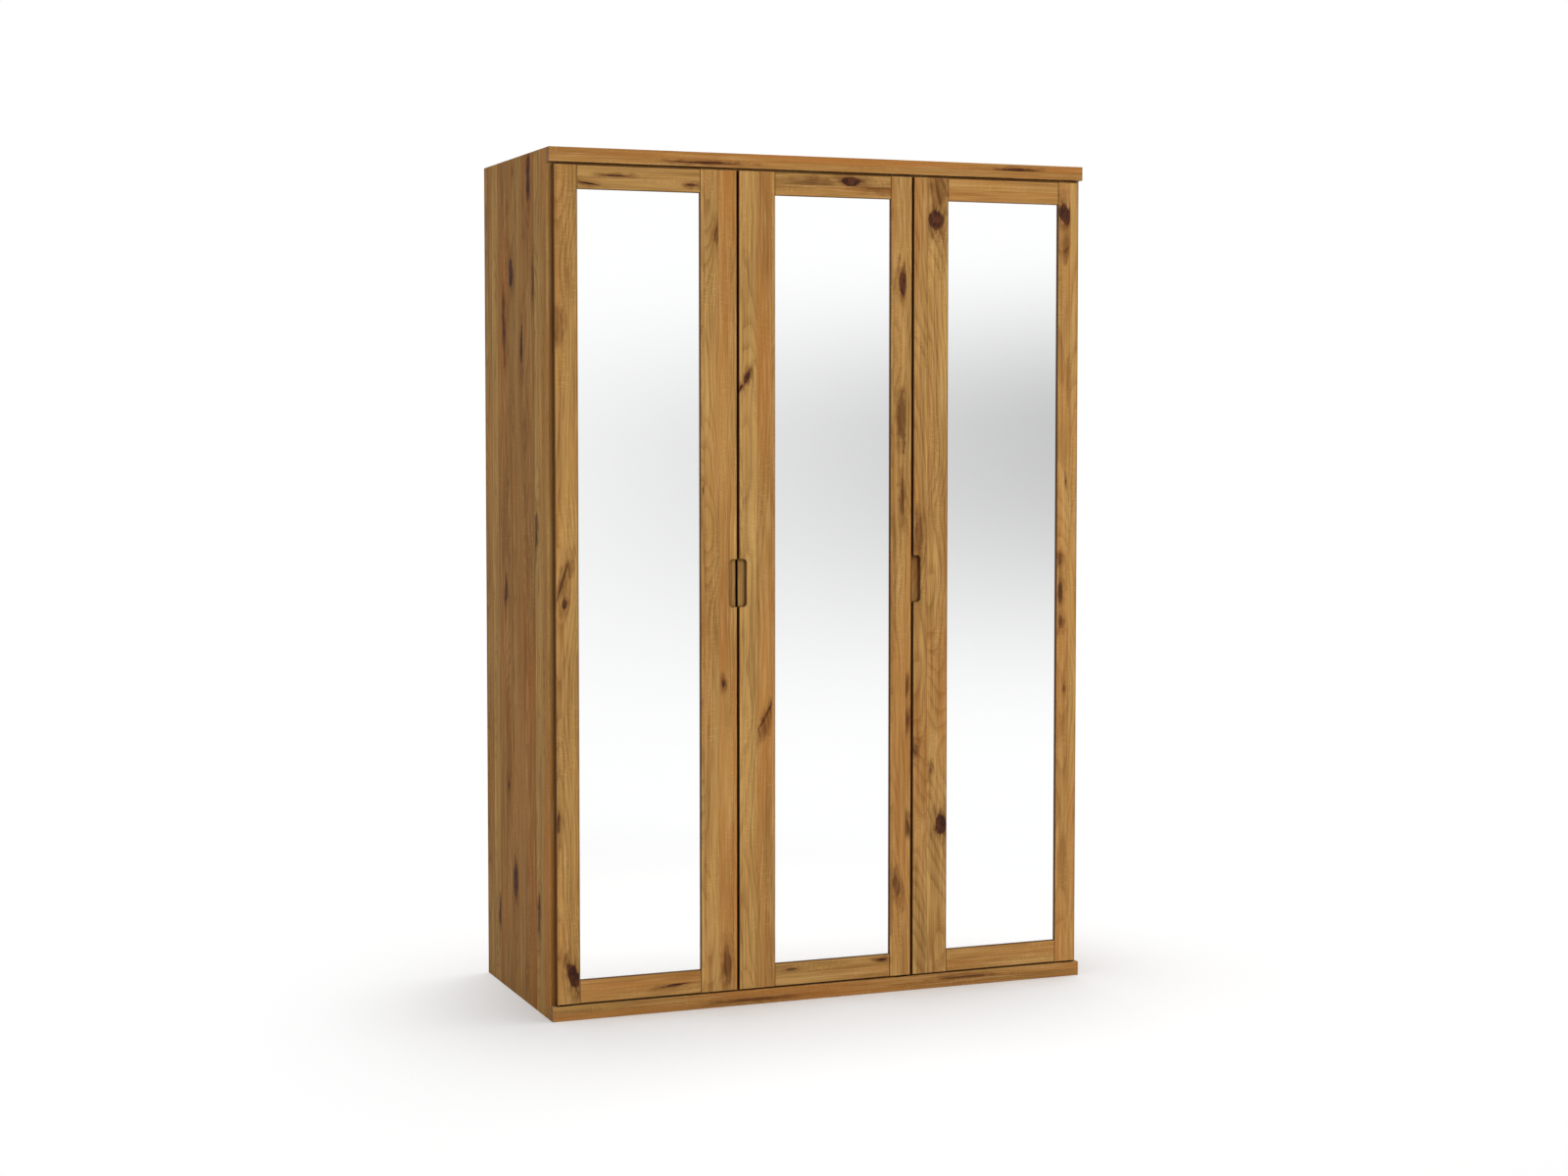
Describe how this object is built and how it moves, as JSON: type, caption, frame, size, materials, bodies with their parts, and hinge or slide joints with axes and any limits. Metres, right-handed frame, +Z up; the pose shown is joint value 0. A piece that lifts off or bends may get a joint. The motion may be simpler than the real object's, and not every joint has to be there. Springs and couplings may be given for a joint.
{
  "type": "wardrobe with doors",
  "caption": "Solid oak wardrobe with framed mirror doors on pivot hinges over a hanging compartment and a column of shelves.",
  "frame": {"origin": "middle of the footprint, on the floor", "axes": "+X to the right as seen by someone facing the doors, +Y from the doors to the back, +Z up"},
  "size_m": [1.467, 0.612, 2.16],
  "materials": {
    "oiled_oak": "oiled, with knots and lively grain",
    "veneered_board": "oak veneer, matte",
    "mirror_glass": "silvered float glass",
    "steel": "satin",
    "brown_plastic": "moulded, matte"
  },
  "bodies": {
    "carcase": {"back_joint_strip": "brown_plastic", "back_panel_left": "veneered_board", "back_panel_middle": "veneered_board", "back_panel_right": "veneered_board", "bottom_panel": "oiled_oak", "centre_runner": "oiled_oak", "cornice_strip": "oiled_oak", "hanging_rail": "steel", "hat_shelf": "oiled_oak", "left_door_bottom_pivot_pin": "steel", "left_door_catch": "brown_plastic", "left_door_top_pivot_pin": "steel", "middle_door_bottom_pivot_pin": "steel", "middle_door_catch": "brown_plastic", "middle_door_top_pivot_pin": "steel", "partition": "oiled_oak", "plinth_strip": "oiled_oak", "rail_bracket_left": "steel", "rail_bracket_right": "steel", "rear_plinth_rail": "oiled_oak", "right_door_bottom_pivot_pin": "steel", "right_door_catch": "brown_plastic", "right_door_top_pivot_pin": "steel", "shelf_1": "oiled_oak", "shelf_2": "oiled_oak", "shelf_3": "oiled_oak", "shelf_4": "oiled_oak", "shelf_5": "oiled_oak", "side_panel_left": "oiled_oak", "side_panel_right": "oiled_oak", "top_panel": "oiled_oak"},
    "left_door": {"left_door_backing": "veneered_board", "left_door_bottom_pivot_plate": "steel", "left_door_bottom_rail": "oiled_oak", "left_door_handle_stile": "oiled_oak", "left_door_hinge_stile": "oiled_oak", "left_door_mirror": "mirror_glass", "left_door_strike": "steel", "left_door_top_pivot_plate": "steel", "left_door_top_rail": "oiled_oak"},
    "middle_door": {"middle_door_backing": "veneered_board", "middle_door_bottom_pivot_plate": "steel", "middle_door_bottom_rail": "oiled_oak", "middle_door_handle_stile": "oiled_oak", "middle_door_hinge_stile": "oiled_oak", "middle_door_mirror": "mirror_glass", "middle_door_strike": "steel", "middle_door_top_pivot_plate": "steel", "middle_door_top_rail": "oiled_oak"},
    "right_door": {"right_door_backing": "veneered_board", "right_door_bottom_pivot_plate": "steel", "right_door_bottom_rail": "oiled_oak", "right_door_handle_stile": "oiled_oak", "right_door_hinge_stile": "oiled_oak", "right_door_mirror": "mirror_glass", "right_door_strike": "steel", "right_door_top_pivot_plate": "steel", "right_door_top_rail": "oiled_oak"}
  },
  "joints": [
    {"name": "left_door_hinge", "type": "hinge", "parent": "carcase", "child": "left_door", "pos_m": [-0.7165, -0.298, 0.0415], "axis": [0, 0, -1], "range_deg": [0, 110]},
    {"name": "middle_door_hinge", "type": "hinge", "parent": "carcase", "child": "middle_door", "pos_m": [0.23367, -0.298, 0.0415], "axis": [0, 0, 1], "range_deg": [0, 100]},
    {"name": "right_door_hinge", "type": "hinge", "parent": "carcase", "child": "right_door", "pos_m": [0.7165, -0.298, 0.0415], "axis": [0, 0, 1], "range_deg": [0, 110]}
  ]
}
